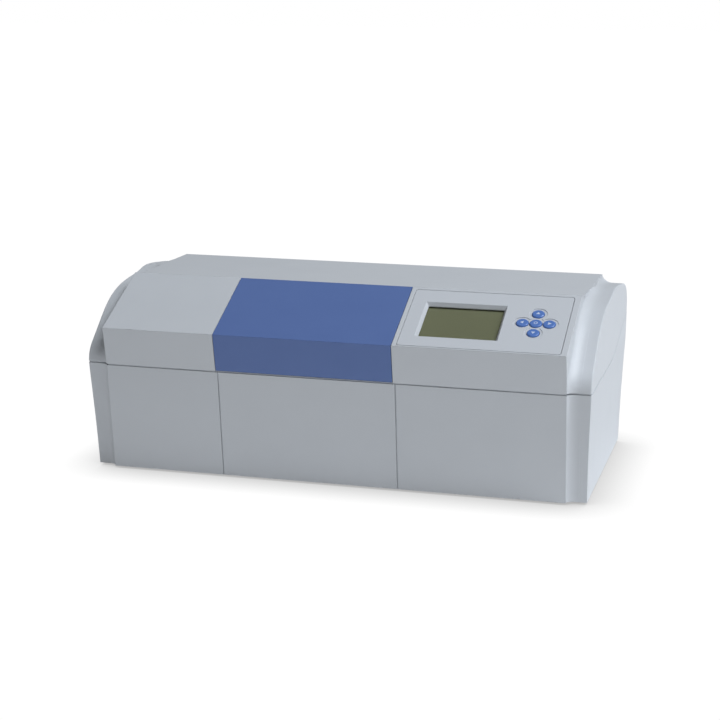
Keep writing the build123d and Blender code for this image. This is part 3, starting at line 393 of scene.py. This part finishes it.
# Keys: five glossy blue caps on a rubber mat, in shallow dishes of the panel.
# Four carry a pale arrow that points outwards, the middle one a small ring.
wear(["keypad_mat"], rubber)
slope_rise, slope_run = 0.048, 0.1025
slope_tilt = math.atan2(slope_rise, slope_run)
arrow_tip, arrow_back, arrow_spread = 0.0026, -0.0013, 0.6
ring_inside, ring_outside = 0.0014, 0.0022
key_colour, mark_colour = (0.095, 0.205, 0.55), (0.62, 0.70, 0.86)
pointing = {"key_left": (-1, 0), "key_right": (1, 0), "key_up": (0, 1), "key_down": (0, -1)}
for name in (*pointing, "key_enter"):
    middle = [(low + high) / 2 for low, high in zip(*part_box(name))]
    key_blue = Finish(f"{name}_blue", key_colour, roughness=0.25)
    x, y, z = key_blue.axes()
    across = x - middle[0]
    uphill = (y - middle[1]) * math.cos(slope_tilt) + (z - middle[2]) * math.sin(slope_tilt)
    if name in pointing:
        right, up = pointing[name]
        ahead = across * right + uphill * up
        aside = abs(across * up + uphill * right)
        mark = (ahead > arrow_back) * (aside < arrow_spread * (arrow_tip - ahead))
    else:
        radius = across.combine("POWER", across * across + uphill * uphill, 0.5)
        mark = (radius > ring_inside) * (radius < ring_outside)
    key_blue.paint(mark, key_colour, mark_colour)
    key_blue.polish(key_blue.noise(size=0.0006), smoothest=0.2, spread=0.12)
    wear([name], key_blue)

# Circuit boards: green solder mask with a grid of tracks under it. The two on
# the floor carry black parts and stand on hexagonal brass standoffs.
wear(["board_standoffs"], brass)
part_level = 0.00192
part_black = (0.02, 0.02, 0.022)
for name in ("keypad_board", "main_board", "power_board"):
    board = Finish(f"{name}_mask", (0.02, 0.12, 0.05), roughness=0.35)
    bricks = {"Vector": board.place, "Scale": 180.0, "Mortar Size": 0.06}
    tracks = board.node("ShaderNodeTexBrick", None, bricks, output="Fac")
    mask = board.tint(tracks, (0.015, 0.10, 0.04), (0.05, 0.22, 0.09))
    if name != "keypad_board":
        parts = board.axes()[2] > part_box(name)[0][2] + part_level
        mask = board.tint(parts, mask, part_black)
    board.set({"Base Color": mask})
    board.relief(tracks, strength=0.2, distance=0.0001)
    wear([name], board)

# Rear panel and what it carries: grey stove-enamelled steel sheet, seated
# inside the back wall, with black plastic connectors and a plated data port.
enamel = Finish("grey_enamel", (0.50, 0.52, 0.55), roughness=0.45)
orange_peel = enamel.noise(size=0.0015, detail=1.0)
enamel.relief(orange_peel, strength=0.1, distance=0.0002)
wear(["rear_panel"], enamel)
wear(["mains_inlet", "power_switch", "power_rocker", "fuse_holder"], black_plastic)
wear(["data_port"], steel)

# Mouth of the data port: a black insert with nine gilt sockets fills the
# plated shell, and a hexagonal steel post for the plug's screw stands on
# each side. They stand out along the leaning back wall.
back_run, back_rise = 0.015, 0.155
back_lean = math.atan2(back_run, back_rise)
outward = Vector((0, math.cos(back_lean), -math.sin(back_lean)))
upward = Vector((0, math.sin(back_lean), math.cos(back_lean)))
sideways = Vector((-1, 0, 0))
port_points = [vertex.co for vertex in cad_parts["data_port"].data.vertices]
port_reach = max(point.dot(outward) for point in port_points)
rim_tolerance = 1e-5
rim = [point for point in port_points if port_reach - point.dot(outward) < rim_tolerance]
mouth = sum(rim, Vector()) / len(rim)


def turned(sides, radius):
    steps = [2 * math.pi * i / sides for i in range(sides)]
    return [(radius * math.cos(step), radius * math.sin(step)) for step in steps]


# A stud is its outline repeated ring by ring, each ring at its own depth along
# outward and with its own share of the outline's size. Both ends are closed.
def stud(name, foot, outline, rings, finish):
    places = [
        foot + share * across * sideways + share * along * upward + depth * outward
        for depth, share in rings
        for across, along in outline
    ]
    sides = len(outline)
    faces = [tuple(reversed(range(sides))), tuple(range(len(places) - sides, len(places)))]
    for ring in range(len(rings) - 1):
        for side in range(sides):
            start, after = ring * sides + side, ring * sides + (side + 1) % sides
            faces.append((start, after, after + sides, start + sides))
    mesh = bpy.data.meshes.new(name)
    mesh.from_pydata(places, [], faces)
    mesh.materials.append(finish.material)
    piece = bpy.data.objects.new(name, mesh)
    bpy.context.scene.collection.objects.link(piece)
    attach(piece, "root")


insert_top, insert_base, insert_height = 0.0086, 0.0074, 0.0034
insert_outline = [
    (-insert_base, -insert_height),
    (insert_base, -insert_height),
    (insert_top, insert_height),
    (-insert_top, insert_height),
]
insert_rings = [(0, 1), (0.0003, 1), (0.0005, 0.97)]
stud("port_insert", mouth, insert_outline, insert_rings, black_plastic)

gilt = Finish("gilt_contact", (0.83, 0.62, 0.24), roughness=0.22, metallic=1.0)
gilt.polish(gilt.noise(size=0.0003), smoothest=0.18, spread=0.12)
contact_pitch, contact_row = 0.00277, 0.00142
contact_outline = turned(sides=16, radius=0.00062)
contact_rings = [(0.0004, 1), (0.0007, 1), (0.0008, 0.9), (0.0008, 0.62), (0.0005, 0.58)]
contacts = [(step - 2, contact_row) for step in range(5)]
contacts += [(step - 1.5, -contact_row) for step in range(4)]
for count, (step, rise) in enumerate(contacts):
    foot = mouth + step * contact_pitch * sideways + rise * upward
    stud(f"port_contact_{count + 1}", foot, contact_outline, contact_rings, gilt)

post_offset = 0.0125
post_outline = turned(sides=6, radius=0.0027)
post_rings = [(-0.005, 1), (-0.0012, 1), (-0.0007, 0.9), (-0.0007, 0.5), (-0.0035, 0.46)]
for name, side in (("port_post_right", -1), ("port_post_left", 1)):
    foot = mouth + side * post_offset * sideways
    stud(name, foot, post_outline, post_rings, steel)
